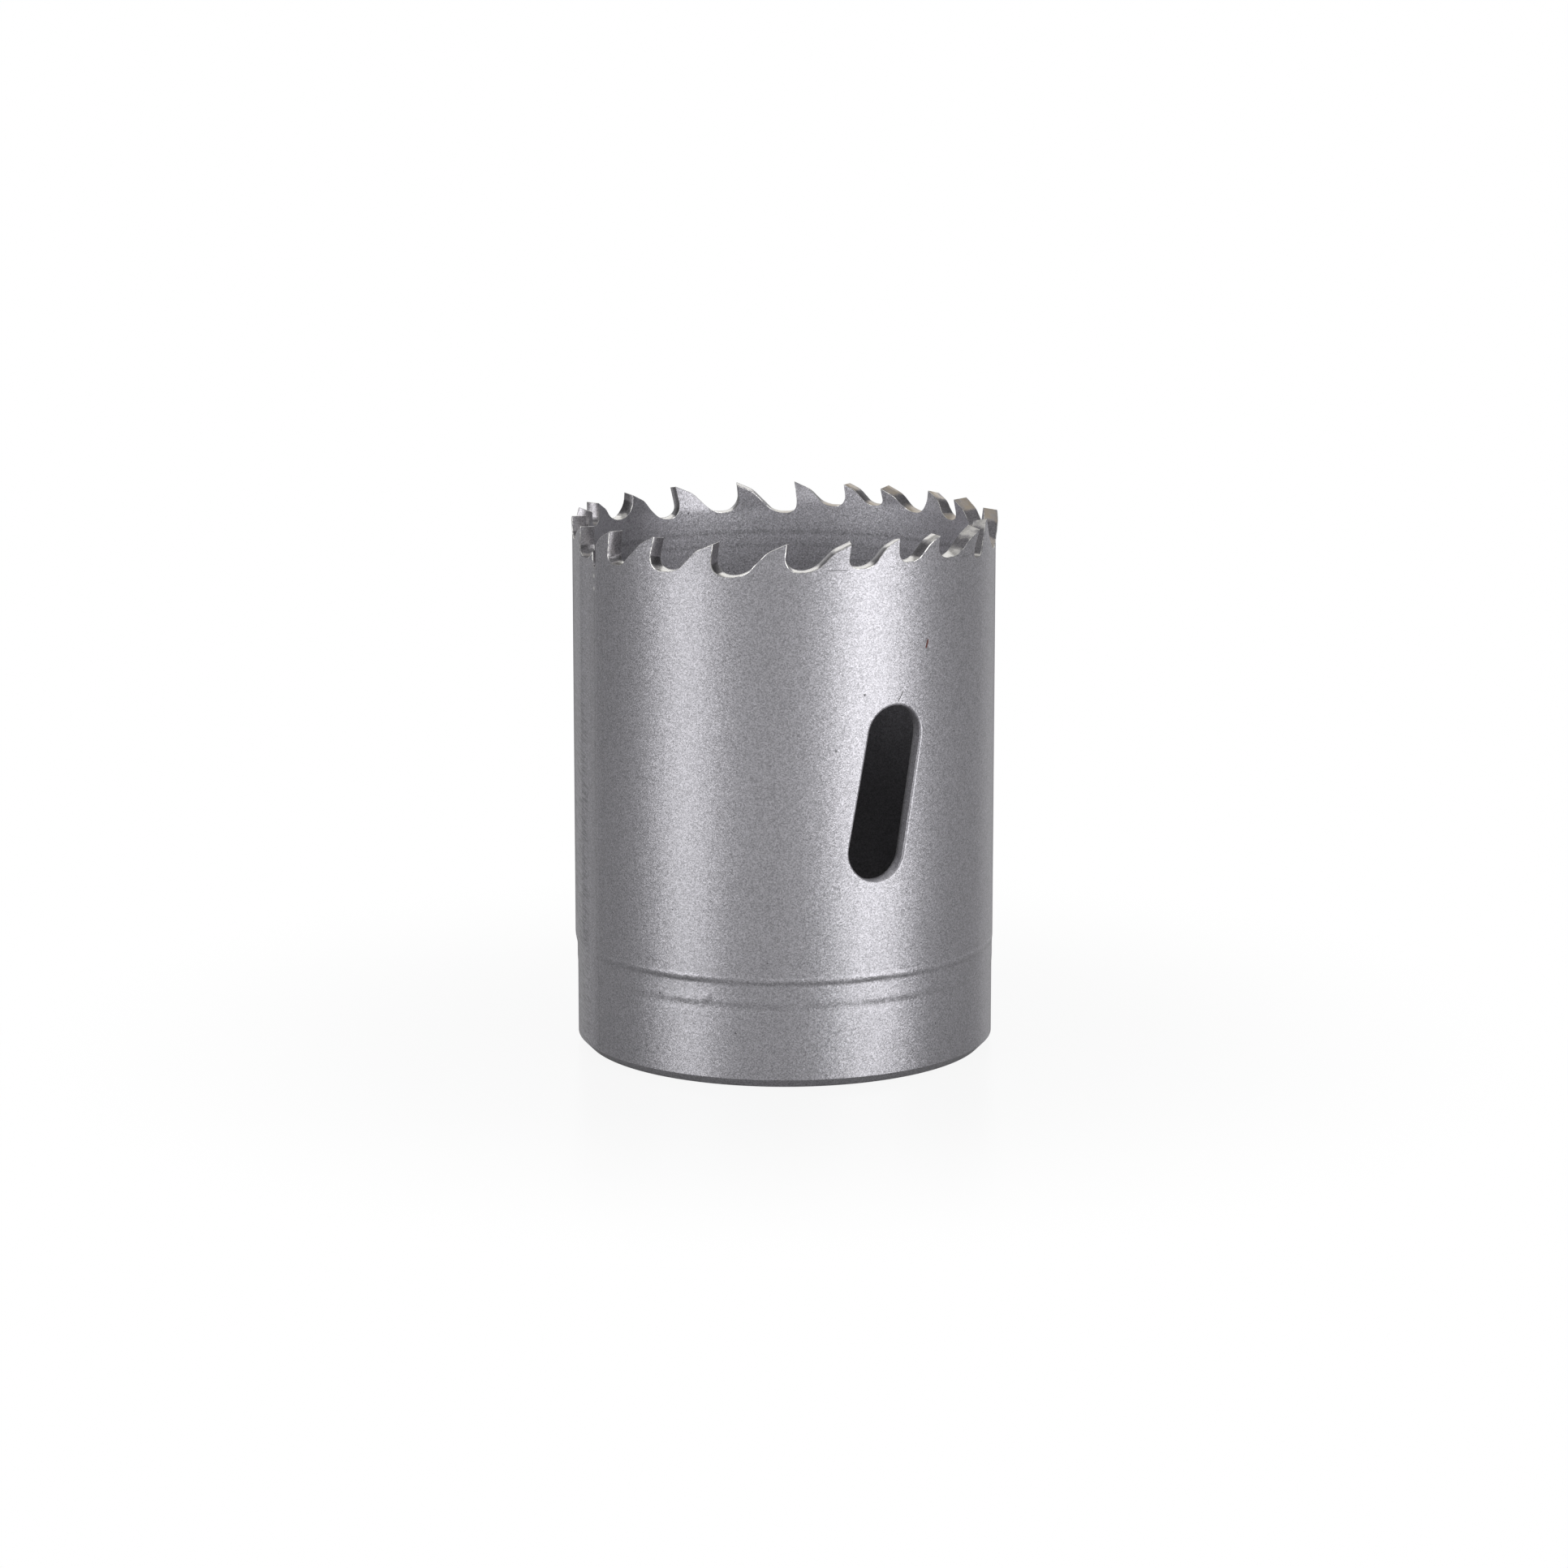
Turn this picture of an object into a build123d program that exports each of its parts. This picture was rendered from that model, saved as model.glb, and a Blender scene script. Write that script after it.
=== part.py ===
from build123d import *
from build123d import SkipClean
import os
from math import atan, cos, degrees, hypot, radians, sin, sqrt, tan

# Hole saw, 38 mm cutting diameter. All lengths are millimetres and all angles are degrees.
# The axis is Z, the closed end rests on Z = 0 and the teeth point up.
# Azimuths run counter-clockwise seen from the toothed end, from +X.

# Shell: one strip rolled into a tube and butt welded along a vertical seam
body_radius = 18.75
wall = 1.27
tip_height = 47.8
gullet_clearance = 0.55
base_chamfer = 0.8

# Two shallow steps turned into the outside of the shell around the back plate
upper_step_height = 9.4
upper_step = 0.06
upper_step_run = 0.12
lower_step_height = 7.2
lower_step = 0.05
lower_step_run = 0.5

# Butt weld: ground flat on the outside, with a short open end under the nearest gullet
seam_azimuth = 180.0
seam_flat_depth = 0.1
seam_flat_turn = 4.7
seam_slit_width = 0.4
seam_slit_depth = 3.6

# Tooth form, as milled in the flat strip
rake_angle = 8.0
relief_angle = 24.0
back_angle = 45.0
relief_share = 0.27
face_fillet_share = 0.6
gullet_land = 0.6
land_share_before_joint = 0.62
milling_skew = 8.0
first_tip_past_seam = 8.3

# Tooth setting: every set tooth leans so that its tip stands this far out or in
set_distance = 0.4
set_bend_radius = 2.5
set_bend_rise = 0.05
trim_allowance = 0.4

# One line for each tooth, counter-clockwise from the seam: share of the turn up to the next tip,
# depth of the gullet in front of its cutting face, and setting (1 fully out, -1 fully in, 0 straight)
teeth = [
    (16.0, 2.80, 0.0),
    (18.8, 2.75, -1.0),
    (19.6, 2.85, 0.4),
    (17.0, 2.37, -0.8),
    (14.7, 2.20, 0.4),
    (13.0, 1.95, -0.7),
    (17.4, 2.10, 0.3),
    (13.0, 2.70, 1.0),
    (20.5, 2.70, -1.0),
    (20.7, 2.60, 0.9),
    (15.3, 2.10, -0.6),
    (16.3, 2.00, 1.0),
    (12.4, 1.75, -0.6),
    (15.2, 2.05, 0.0),
    (17.4, 2.75, 1.0),
    (19.3, 2.60, -0.8),
    (18.6, 2.80, 1.0),
    (19.8, 2.15, -0.6),
    (12.5, 1.90, -0.2),
    (12.5, 1.90, -1.0),
    (12.0, 1.90, 0.2),
    (18.0, 2.95, 0.0),
]

# The tooth at the weld is ground lower than the others
weld_tooth = len(teeth) - 1
weld_tooth_loss = 0.38

# Obround slots for levering out the cut core, on opposite sides, leaning like the teeth
slot_azimuths = (-90.0, 90.0)
slot_width = 5.2
slot_length = 15.43
slot_height = 25.8
slot_lean = 10.2
slot_edge_bevel = 0.15

# Back plate: welded into the closed end, threaded for a large arbor (5/8-18 UNF), two drive pin holes
plate_thickness = 6.35
thread_major_radius = 7.94
thread_lead_in = 0.4
pin_circle_radius = 12.0
pin_hole_radius = 3.3
pin_azimuths = (0.0, 180.0)
pin_hole_lead_in = 0.3
plate_rim_chamfer = 0.4
weld_bead_leg = 0.9

# Values that follow from the sizes above
inner_radius = body_radius - wall
plain_height = tip_height - max(tooth[1] for tooth in teeth) - gullet_clearance
cutter_overrun = 2.0


def polar(radius, azimuth, height=0.0):
    return Vector(radius * cos(radians(azimuth)), radius * sin(radians(azimuth)), height)


def wall_plane(azimuth, radius, height=0.0):
    """Plane facing outward at an azimuth: local X runs counter-clockwise and local Y runs up."""
    along = Vector(-sin(radians(azimuth)), cos(radians(azimuth)), 0)
    return Plane(origin=polar(radius, azimuth, height), x_dir=along, z_dir=polar(1, azimuth))


def revolve_section(outline, start=0.0, turn=360.0):
    """Revolve a closed outline drawn in the XZ plane, counter-clockwise from a start azimuth."""
    section = Rot(0, 0, start) * make_face(Plane.XZ * outline)
    return revolve(section, Axis.Z, turn)


def tube_body():
    """Plain part of the shell, with the chamfered rim and the two shallow steps."""
    middle = body_radius - upper_step
    lower = middle - lower_step
    outline = Polyline(
        (inner_radius, 0),
        (lower - base_chamfer, 0),
        (lower, base_chamfer),
        (lower, lower_step_height),
        (middle, lower_step_height + lower_step_run),
        (middle, upper_step_height),
        (body_radius, upper_step_height + upper_step_run),
        (body_radius, plain_height),
        (inner_radius, plain_height),
        close=True,
    )
    return revolve_section(outline)


def gullet_shape(index):
    """Sizes of the gullet in front of a tooth, along the outside of the wall."""
    share, depth, _ = teeth[index]
    pitch = body_radius * radians(360.0 * share / sum(tooth[0] for tooth in teeth))
    relief_run = relief_share * pitch
    relief_drop = relief_run * tan(radians(relief_angle))
    back_run = relief_run + (depth - relief_drop) / tan(radians(back_angle))
    face_run = depth * tan(radians(rake_angle))
    curved = pitch + face_run - back_run - gullet_land
    face_arc_run = face_fillet_share * curved
    back_arc_run = curved - face_arc_run
    return {
        "pitch": pitch,
        "depth": depth,
        "back_run": back_run,
        "face_run": face_run,
        "face_radius": face_arc_run / tan(radians(90.0 - rake_angle) / 2),
        "back_radius": back_arc_run / tan(radians(back_angle) / 2),
        "joint": face_arc_run - face_run + land_share_before_joint * gullet_land,
    }


def tip_azimuths():
    """Azimuth of each cutting tip; the shares are brought to exactly one turn."""
    total = sum(tooth[0] for tooth in teeth)
    azimuths = []
    azimuth = seam_azimuth + first_tip_past_seam
    for share, _, _ in teeth:
        azimuths.append(azimuth)
        azimuth += 360.0 * share / total
    return azimuths


def lean_angle(height, distance):
    """Lean that moves a tip by a distance when the bend starts a height below it."""
    room = 2 * set_bend_radius - distance
    return degrees(2 * atan((height - sqrt(height**2 - room * distance)) / room))


def wall_outline(bend_height, lean, outward):
    """Section of the toothed wall: upright, then leaning outward or inward after a bend."""
    top = tip_height + trim_allowance
    if lean == 0:
        return Polyline(
            (inner_radius, plain_height),
            (body_radius, plain_height),
            (body_radius, top),
            (inner_radius, top),
            close=True,
        )
    side = 1 if outward else -1
    near_wall = body_radius if outward else inner_radius
    far_wall = inner_radius if outward else body_radius
    centre = (near_wall + side * set_bend_radius, bend_height)
    start = 180 if outward else 0
    near = CenterArc(centre, set_bend_radius, start, -side * lean)
    far = CenterArc(centre, set_bend_radius + wall, start, -side * lean)
    slope = side * tan(radians(lean))
    near_top = (near @ 1).X + (top - (near @ 1).Y) * slope
    far_top = (far @ 1).X + (top - (far @ 1).Y) * slope
    above = Polyline(near @ 1, (near_top, top), (far_top, top), far @ 1)
    below = Polyline(near @ 0, (near_wall, plain_height), (far_wall, plain_height), far @ 0)
    return Curve() + [near, far, above, below]


def tooth_outline(before, after, tip):
    """Unrelieved tooth between two gullets: straight back, raked face, rounded feet."""
    rake = tan(radians(rake_angle))
    slope = tan(radians(back_angle))
    back_foot = tip - before["back_run"]
    face_foot = tip - after["face_run"]
    apex_rise = ((tip - back_foot) * slope - before["depth"]) / (1 - rake * slope)
    floor = plain_height - tip_height
    return FilletPolyline(
        (back_foot - before["pitch"], floor),
        (back_foot - before["pitch"], -before["depth"]),
        (back_foot, -before["depth"]),
        (tip + rake * apex_rise, apex_rise),
        (face_foot, -after["depth"]),
        (face_foot + after["pitch"], -after["depth"]),
        (face_foot + after["pitch"], floor),
        radius=(0, 0, before["back_radius"], 0, after["face_radius"], 0, 0),
        close=True,
    )


def relief_cutter(plane_azimuth, tip, tip_radius, height, lean):
    """Block whose lower face is the relief behind a tip, square to the leaning wall."""
    size = 4 * wall + tip
    at_tip = wall_plane(plane_azimuth, tip_radius, height) * Pos(tip, 0, 0)
    block = Box(2 * size, size, size, align=(Align.CENTER, Align.MIN, Align.CENTER))
    return at_tip * Rot(lean, 0, 0) * Rot(0, 0, relief_angle) * block


def tooth(index, tip_azimuth):
    """One tooth with its half of each neighbouring gullet."""
    before = gullet_shape(index - 1)
    after = gullet_shape(index)
    setting = teeth[index][2]
    shallow = min(before["depth"], after["depth"])
    bend = shallow - set_bend_rise
    lean = lean_angle(bend, abs(setting) * set_distance)
    outward = setting > 0
    start = tip_azimuth + degrees((before["joint"] - before["pitch"]) / body_radius)
    end = tip_azimuth + degrees(after["joint"] / body_radius)
    ring = revolve_section(wall_outline(tip_height - bend, lean, outward), start, end - start)

    middle = tip_azimuth - milling_skew
    tip = body_radius * sin(radians(milling_skew))
    outline = tooth_outline(before, after, tip)
    face = make_face(wall_plane(middle, inner_radius - cutter_overrun, tip_height) * outline)
    body = ring & extrude(face, wall + 2 * cutter_overrun, dir=polar(1, middle))

    height = tip_height - (weld_tooth_loss if index == weld_tooth else 0)
    tip_radius = body_radius - wall / 2 + setting * set_distance
    signed_lean = lean if outward else -lean
    return body - relief_cutter(middle, tip, tip_radius, height, signed_lean)


def seam_flat():
    """Cutter for the flat ground over the weld, just past the seam."""
    centre = seam_azimuth - seam_flat_turn
    block = Box(body_radius, 2 * tip_height, cutter_overrun, align=(Align.CENTER, Align.CENTER, Align.MIN))
    return wall_plane(centre, body_radius - seam_flat_depth, tip_height / 2) * block


def seam_slit():
    """Cutter for the open end of the weld: a narrow slit with a round bottom."""
    slit = SlotOverall(2 * seam_slit_depth, seam_slit_width, rotation=90)
    plane = wall_plane(seam_azimuth, inner_radius - cutter_overrun, tip_height)
    return extrude(plane * slit, wall + 2 * cutter_overrun)


def lever_slot(azimuth):
    """Cutter for one obround slot through the wall."""
    slot = SlotOverall(slot_length, slot_width, rotation=90 - slot_lean)
    plane = wall_plane(azimuth, inner_radius - 2 * cutter_overrun, slot_height)
    return extrude(plane * slot, wall + 4 * cutter_overrun)


def lies_outside(point):
    """True for a point on the outer face of the wall."""
    return abs(hypot(point.X, point.Y) - body_radius) < slot_edge_bevel / 2


def slot_rim_edges(part, azimuth):
    """Outer edges of a slot: on the outer face, within its height and on its side."""
    facing = polar(1, azimuth)
    reach = slot_length / 2 + slot_edge_bevel
    rim = []
    for edge in part.edges():
        box = edge.bounding_box()
        near_slot = box.min.Z > slot_height - reach and box.max.Z < slot_height + reach
        outside = lies_outside(edge @ 0) and lies_outside(edge @ 1)
        if near_slot and outside and edge.center().dot(facing) > inner_radius / 2:
            rim.append(edge)
    return rim


def saw_shell():
    """Toothed shell. Neighbouring faces are left as they are cut, not merged."""
    with SkipClean():
        shell = tube_body()
        shell += [tooth(index, azimuth) for index, azimuth in enumerate(tip_azimuths())]
        shell -= seam_flat()
        shell -= seam_slit()
        for azimuth in slot_azimuths:
            shell -= lever_slot(azimuth)
            shell = chamfer(slot_rim_edges(shell, azimuth), slot_edge_bevel)
    return shell


def back_plate():
    """Threaded disc with its rim groove, weld bead and drive pin holes."""
    disc = Polyline(
        (inner_radius, plate_thickness + weld_bead_leg),
        (inner_radius, plate_rim_chamfer),
        (inner_radius - plate_rim_chamfer, 0),
        (thread_major_radius + thread_lead_in, 0),
        (thread_major_radius, thread_lead_in),
        (thread_major_radius, plate_thickness - thread_lead_in),
        (thread_major_radius + thread_lead_in, plate_thickness),
        (inner_radius - weld_bead_leg, plate_thickness),
        close=True,
    )
    plate = revolve_section(disc)
    for azimuth in pin_azimuths:
        at_hole = Pos(*polar(pin_circle_radius, azimuth))
        plate -= at_hole * pin_hole_cutter()
    return plate


def pin_hole_cutter():
    """Cutter for one drive pin hole, widened a little at both ends."""
    wide = pin_hole_radius + pin_hole_lead_in
    outline = Polyline(
        (0, 0),
        (wide, 0),
        (pin_hole_radius, pin_hole_lead_in),
        (pin_hole_radius, plate_thickness - pin_hole_lead_in),
        (wide, plate_thickness),
        (0, plate_thickness),
        close=True,
    )
    return revolve_section(outline)


os.makedirs("parts", exist_ok=True)
export_step(saw_shell(), "parts/saw_shell.step")
export_step(back_plate(), "parts/back_plate.step")
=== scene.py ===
# %% [markdown]
# # A bi-metal hole saw
#
# The real tool is a strip of spring steel with a harder edge welded along it. Teeth are milled into
# that edge, the strip is rolled into a tube, its two ends are butt welded, and a thick threaded plate
# is welded into the closed end. Then the whole cup is sprayed with silver paint.
# This script makes the shell in the same order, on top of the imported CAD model, which gives the sizes.

# %% The frame
import bisect
import bmesh
import bpy
from math import acos, atan, atan2, cos, degrees, pi, radians, sin, sqrt, tan
from mathutils import Euler, Matrix, Vector, noise


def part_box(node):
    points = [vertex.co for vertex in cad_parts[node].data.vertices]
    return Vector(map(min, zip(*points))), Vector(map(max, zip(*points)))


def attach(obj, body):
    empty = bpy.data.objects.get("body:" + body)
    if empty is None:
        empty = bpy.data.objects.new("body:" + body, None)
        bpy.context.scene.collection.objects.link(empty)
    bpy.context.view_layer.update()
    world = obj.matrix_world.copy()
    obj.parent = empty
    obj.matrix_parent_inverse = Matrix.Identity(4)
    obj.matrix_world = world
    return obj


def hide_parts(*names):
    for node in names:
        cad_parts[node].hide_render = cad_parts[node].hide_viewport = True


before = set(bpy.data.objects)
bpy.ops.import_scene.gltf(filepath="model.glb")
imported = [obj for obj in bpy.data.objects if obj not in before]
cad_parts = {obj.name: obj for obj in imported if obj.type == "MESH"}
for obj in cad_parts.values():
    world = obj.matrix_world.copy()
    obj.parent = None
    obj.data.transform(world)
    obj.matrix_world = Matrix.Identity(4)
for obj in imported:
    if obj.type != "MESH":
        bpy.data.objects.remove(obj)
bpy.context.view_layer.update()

# %% [markdown]
# ## Sizes
#
# The back plate fills the tube, so its half width is the tube's inner radius. The outer radius and the
# tip height are given, because the set teeth lean out past the wall and hide both in the shell's box.

# %% Driving sizes
mm = 0.001
plate_low, plate_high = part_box("back_plate")
outer_radius = 18.75 * mm
inner_radius = plate_high.x
wall = outer_radius - inner_radius
tip_height = 47.8 * mm
girth = 2 * pi * outer_radius
seam_azimuth = radians(180.0)
print("wall %.3f mm, strip %.1f mm long" % (wall / mm, girth / mm))

# %% [markdown]
# ## Camera
#
# The photograph is taken with a long lens from a little above the object. The camera stands on a
# circle round the axis, so its place is an azimuth, a distance and a height, and it is pitched down.

# %% Camera
camera_turn = radians(-28.2)
camera_distance = 438.36 * mm
camera_height = 114.77 * mm
camera_pitch = radians(11.80)
camera_data = bpy.data.cameras.new("camera")
camera_data.sensor_width = 36.0
camera_data.lens = 114.86
camera_data.clip_start = 0.01
camera = bpy.data.objects.new("camera", camera_data)
camera.location = (camera_distance * sin(camera_turn), -camera_distance * cos(camera_turn), camera_height)
camera.rotation_euler = Euler((pi / 2 - camera_pitch, 0.0, camera_turn))
bpy.context.scene.collection.objects.link(camera)
bpy.context.scene.camera = camera
print("camera: %.0f mm lens, %.0f mm away" % (camera_data.lens, camera_distance / mm))

# %% [markdown]
# ## Teeth
#
# Every gullet is milled in front of a cutting face. The pitch varies so that the saw does not chatter.
# A line gives the share of the turn up to the next tip in degrees, the depth of the gullet in front of
# the tooth, and its set: 1 leans fully out, -1 fully in, 0 stays straight.

# %% Tooth list
teeth = [
    (16.0, 2.80, 0.0),
    (18.8, 2.75, -1.0),
    (19.6, 2.85, 0.4),
    (17.0, 2.37, -0.8),
    (14.7, 2.20, 0.4),
    (13.0, 1.95, -0.7),
    (17.4, 2.10, 0.3),
    (13.0, 2.70, 1.0),
    (20.5, 2.70, -1.0),
    (20.7, 2.60, 0.9),
    (15.3, 2.10, -0.6),
    (16.3, 2.00, 1.0),
    (12.4, 1.75, -0.6),
    (15.2, 2.05, 0.0),
    (17.4, 2.75, 1.0),
    (19.3, 2.60, -0.8),
    (18.6, 2.80, 1.0),
    (19.8, 2.15, -0.6),
    (12.5, 1.90, -0.2),
    (12.5, 1.90, -1.0),
    (12.0, 1.90, 0.2),
    (18.0, 2.95, 0.0),
]
turn_shares = sum(share for share, _, _ in teeth)
first_tip = outer_radius * radians(8.3)
rake = tan(radians(8.0))
relief = tan(radians(24.0))
back = tan(radians(45.0))
relief_share = 0.27
face_arc_share = 0.6
gullet_land = 0.6 * mm
shoulder_round = 0.35 * mm
milling_skew = outer_radius * radians(8.0)
weld_tooth = len(teeth) - 1
weld_tooth_loss = 0.38 * mm


def tip_places():
    """Places of the tips along the strip, from the seam."""
    places = [first_tip]
    for share, _, _ in teeth:
        places.append(places[-1] + girth * share / turn_shares)
    return places


tips = tip_places()
print("%d teeth, tips from %.2f to %.2f mm" % (len(teeth), tips[0] / mm, tips[-2] / mm))

# %% [markdown]
# ## Gullets
#
# A gullet has a raked cutting face, a large round foot, a short flat land and a second round foot
# that runs into the sloping back of the next tooth. The two round feet share what is left of the pitch.

# %% Gullet sizes
def gullet(index):
    """Sizes of the gullet in front of a tooth: depth, and where its faces and arcs end."""
    share, depth, _ = teeth[index % len(teeth)]
    depth = depth * mm
    pitch = girth * share / turn_shares
    relief_run = relief_share * pitch
    back_run = relief_run + (depth - relief_run * relief) / back
    face_run = depth * rake
    curved = pitch + face_run - back_run - gullet_land
    face_arc = face_arc_share * curved
    return {
        "depth": depth,
        "back_run": back_run,
        "face_run": face_run,
        "face_arc": face_arc,
        "back_arc": curved - face_arc,
        "land": face_arc - face_run,
    }


def tooth_corners(index):
    """Corners of one tooth as (place, height, rounding), from the foot of its back to that of its face."""
    before, after = gullet(index - 1), gullet(index)
    tip = tips[index]
    loss = weld_tooth_loss if index % len(teeth) == weld_tooth else 0.0
    foot = tip - before["back_run"]
    low_tip = tip - loss * rake
    high = tip_height - loss
    floor = tip_height - before["depth"]
    shoulder = (high - low_tip * relief - floor + foot * back) / (back - relief)
    return [
        (foot, floor, before["back_arc"]),
        (shoulder, high - (low_tip - shoulder) * relief, shoulder_round),
        (low_tip, high, 0.0),
        (tip - after["face_run"], tip_height - after["depth"], after["face_arc"]),
    ]


# %% [markdown]
# ## The flat strip
#
# The outline of the milled strip is drawn once, as a flat face in the plane of length and height. Its
# round feet are bevelled corners. The strip is drawn a little too long and cut square at both ends, and
# the end corners are nicked, because the weld stays open for a short way under the first gullet.

# %% Strip outline
seam_slit_half = 0.26 * mm
seam_slit_bottom = tip_height - 3.6 * mm
shoulder_steps, foot_steps = 4, 8
cut_reach = 0.004 * mm


def cut(shape, place, across, clear=False, parts=None):
    """Cut a shape by a plane; with clear, what lies ahead of the plane goes."""
    parts = shape.verts[:] + shape.edges[:] + shape.faces[:] if parts is None else parts
    return bmesh.ops.bisect_plane(
        shape, geom=parts, dist=cut_reach, plane_co=place, plane_no=across, clear_outer=clear
    )


def milled_face():
    """Flat face of the strip, with its teeth, cut to length."""
    shape = bmesh.new()
    corners = []
    for index in range(len(tips)):
        corners += tooth_corners(index)
    start = corners[0][0] - corners[0][2] - gullet_land / 2
    end = corners[-1][0]
    outline = [shape.verts.new((start, 0, 0)), shape.verts.new((start, 0, corners[0][1]))]
    rounded = []
    for place, height, rounding in corners[:-1]:
        outline.append(shape.verts.new((place, 0, height)))
        if rounding > 0:
            rounded.append((outline[-1], rounding))
    outline.append(shape.verts.new((end, 0, 0)))
    shape.faces.new(outline)
    for corner, rounding in rounded:
        steps = shoulder_steps if rounding == shoulder_round else foot_steps
        bmesh.ops.bevel(
            shape, geom=[corner], offset=rounding, offset_type="OFFSET", segments=steps,
            profile=0.5, affect="VERTICES", material=-1, clamp_overlap=False,
        )
    cut(shape, (0, 0, 0), (-1, 0, 0), clear=True)
    cut(shape, (girth, 0, 0), (1, 0, 0), clear=True)
    return shape


def nick_ends(shape):
    """Nick both top corners of the strip, down to the weld, for its open end."""
    for end, inward in ((0.0, 1), (girth, -1)):
        cut(shape, (end + inward * seam_slit_half, 0, 0), (1, 0, 0))
        sliver = [face for face in shape.faces if abs(face.calc_center_median().x - end) < seam_slit_half]
        parts = sliver + list({edge for face in sliver for edge in face.edges})
        parts += list({corner for face in sliver for corner in face.verts})
        cut(shape, (end, 0, seam_slit_bottom), (-inward, 0, 1), parts=parts)
        above = [
            face for face in shape.faces
            if abs(face.calc_center_median().x - end) < seam_slit_half
            and face.calc_center_median().z > seam_slit_bottom
        ]
        bmesh.ops.delete(shape, geom=above, context="FACES")


strip = milled_face()
nick_ends(strip)
print("strip outline: %d corners" % len(strip.verts))

# %% [markdown]
# ## Lever slots
#
# Two obround slots let a screwdriver lever out the cut core. Each starts as a circle; its upper and
# lower halves are moved apart and the whole is leaned over. The outline and the slots are then filled
# together, which leaves the slots open, and the fill is dissolved to a few large faces.

# %% Slots and fill
slot_places = (girth / 4, 3 * girth / 4)
slot_width = 5.2 * mm
slot_length = 15.43 * mm
slot_height = 25.8 * mm
slot_lean = radians(10.2)
slot_steps = 58


def slot_outline(shape, place):
    """Edges of one leaning obround slot."""
    upright = Matrix.Rotation(pi / 2, 4, "X")
    circle = bmesh.ops.create_circle(shape, segments=slot_steps, radius=slot_width / 2, matrix=upright)
    ring = circle["verts"]
    for corner in ring:
        corner.co.z += (slot_length - slot_width) / 2 * (1 if corner.co.z > 0 else -1)
    bmesh.ops.rotate(shape, verts=ring, cent=(0, 0, 0), matrix=Matrix.Rotation(slot_lean, 3, "Y"))
    bmesh.ops.translate(shape, verts=ring, vec=(place, 0, slot_height))
    return list({edge for corner in ring for edge in corner.link_edges})


def fill_strip(shape):
    """Fill the outline round the slots with a few flat faces."""
    inside = [edge for edge in shape.edges if not edge.is_boundary]
    bmesh.ops.delete(shape, geom=shape.faces[:], context="FACES_ONLY")
    bmesh.ops.delete(shape, geom=inside, context="EDGES")
    edges = shape.edges[:]
    for place in slot_places:
        edges += slot_outline(shape, place)
    bmesh.ops.triangle_fill(shape, use_beauty=True, edges=edges, normal=(0, 1, 0))
    inside = [edge for edge in shape.edges if not edge.is_boundary]
    bmesh.ops.dissolve_limit(shape, angle_limit=radians(1), verts=[], edges=inside)


fill_strip(strip)
filled = sum(face.calc_area() for face in strip.faces)
print("filled strip: %d faces, %.1f mm2" % (len(strip.faces), filled / mm**2))

# %% [markdown]
# ## Thickness and edges
#
# The face is extruded to the wall's thickness. The milled edges stay crisp and the slots have a
# rounder mouth, so each kind of edge gets its own bevel while the faces are still flat.

# %% Thickness and bevels
paint_slot, milled_slot, worn_slot = 0, 1, 2
tooth_edge = 0.06 * mm
inner_tooth_edge = 0.6 * tooth_edge
tip_edge = 0.05 * mm
slot_mouth = 0.22 * mm
slot_back = 0.10 * mm
rim_edge = 0.12 * mm
tooth_zone = tip_height - 3.9 * mm
tip_zone = tip_height - 0.45 * mm
slot_top = slot_height + slot_length / 2 + mm
above_all = tip_height + mm
tiny = 0.001 * mm


def thicken(shape):
    """Extrude the flat strip inward, and leave its two ends open for the weld."""
    made = bmesh.ops.extrude_face_region(shape, geom=shape.faces[:])["geom"]
    moved = [part for part in made if isinstance(part, bmesh.types.BMVert)]
    bmesh.ops.translate(shape, verts=moved, vec=(0, -wall, 0))
    ends = [
        face for face in shape.faces
        if all(abs(corner.co.x - girth / 2) > girth / 2 - tiny for corner in face.verts)
    ]
    bmesh.ops.delete(shape, geom=ends, context="FACES")
    bmesh.ops.recalc_face_normals(shape, faces=shape.faces[:])
    for face in shape.faces:
        milled = abs(face.normal.y) < 0.5 and face.calc_center_median().z > tooth_zone
        face.material_index = milled_slot if milled else paint_slot


def rim(shape, outside, low, high):
    """Edges between a flat side of the strip and its cut walls, between two heights."""
    found = []
    for edge in shape.edges:
        flat = [abs(face.normal.y) > 0.5 for face in edge.link_faces]
        height = (edge.verts[0].co.z + edge.verts[1].co.z) / 2
        here = edge.verts[0].co.y > -wall / 2
        if len(flat) == 2 and flat[0] != flat[1] and here == outside and low < height < high:
            found.append(edge)
    return found


def cutting_edges(shape):
    """The sharp edge at the tip of every tooth, where its face meets its relief."""
    return [
        edge for edge in shape.edges
        if min(corner.co.z for corner in edge.verts) > tip_zone
        and abs(edge.verts[0].co.y - edge.verts[1].co.y) > wall / 2
        and edge.calc_face_angle() > radians(60)
    ]


def soften(shape, edges, width, steps, finish=None):
    """Bevel some edges, and give the bevels a finish of their own."""
    made = bmesh.ops.bevel(
        shape, geom=edges, offset=width, offset_type="OFFSET", segments=steps, profile=0.5,
        affect="EDGES", material=-1, clamp_overlap=True, loop_slide=True,
    )
    for face in made["faces"]:
        face.material_index = face.material_index if finish is None else finish


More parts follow.
